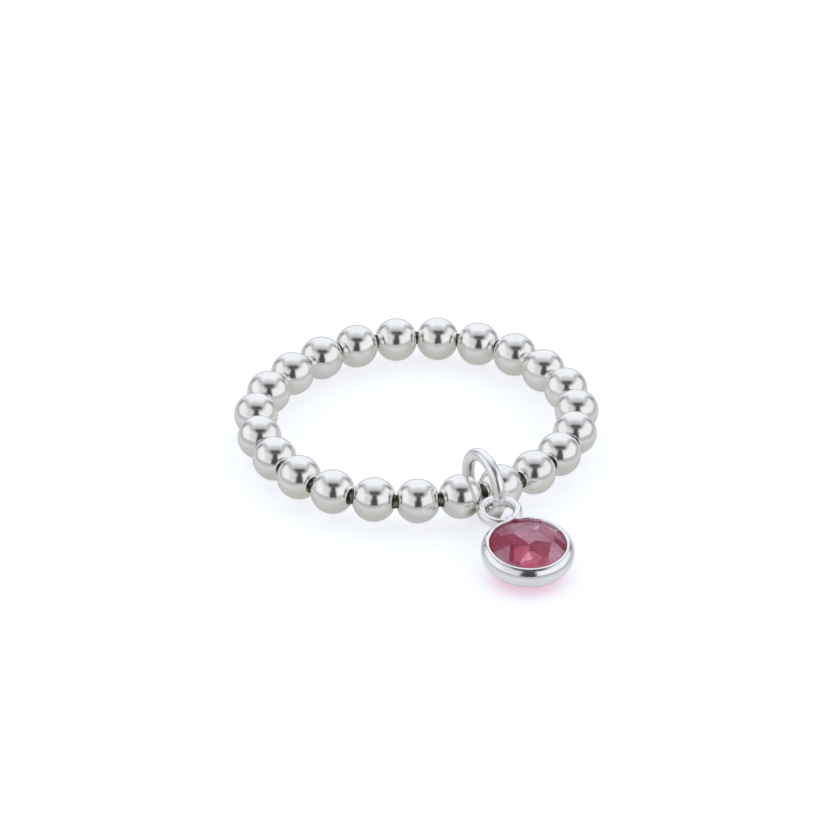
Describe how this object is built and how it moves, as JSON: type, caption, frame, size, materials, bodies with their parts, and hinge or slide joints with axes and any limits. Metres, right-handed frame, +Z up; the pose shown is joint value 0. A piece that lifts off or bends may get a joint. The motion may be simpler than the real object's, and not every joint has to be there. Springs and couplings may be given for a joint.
{
  "type": "birthstone ring",
  "caption": "Finger ring of round polished silver beads on a hidden elastic, with a jump ring carrying a small round setting and a faceted pink-red stone.",
  "frame": {"origin": "middle of the finger hole, on the surface that the ring lies on", "axes": "+Z up, along the finger hole; the jump ring and the stone lie towards -Y; +X to the right of them"},
  "size_m": [0.025, 0.0324, 0.0051],
  "materials": {
    "silver": "high polish",
    "elastic": "satin",
    "stone": "cut and polished"
  },
  "bodies": {
    "root": {"bead_01": "silver", "bead_02": "silver", "bead_03": "silver", "bead_04": "silver", "bead_05": "silver", "bead_06": "silver", "bead_07": "silver", "bead_08": "silver", "bead_09": "silver", "bead_10": "silver", "bead_11": "silver", "bead_12": "silver", "bead_13": "silver", "bead_14": "silver", "bead_15": "silver", "bead_16": "silver", "bead_17": "silver", "bead_18": "silver", "bead_19": "silver", "bead_20": "silver", "bead_21": "silver", "bead_22": "silver", "bead_23": "silver", "elastic": "elastic", "jump_ring": "silver", "setting": "silver", "stone": "stone"}
  },
  "joints": []
}
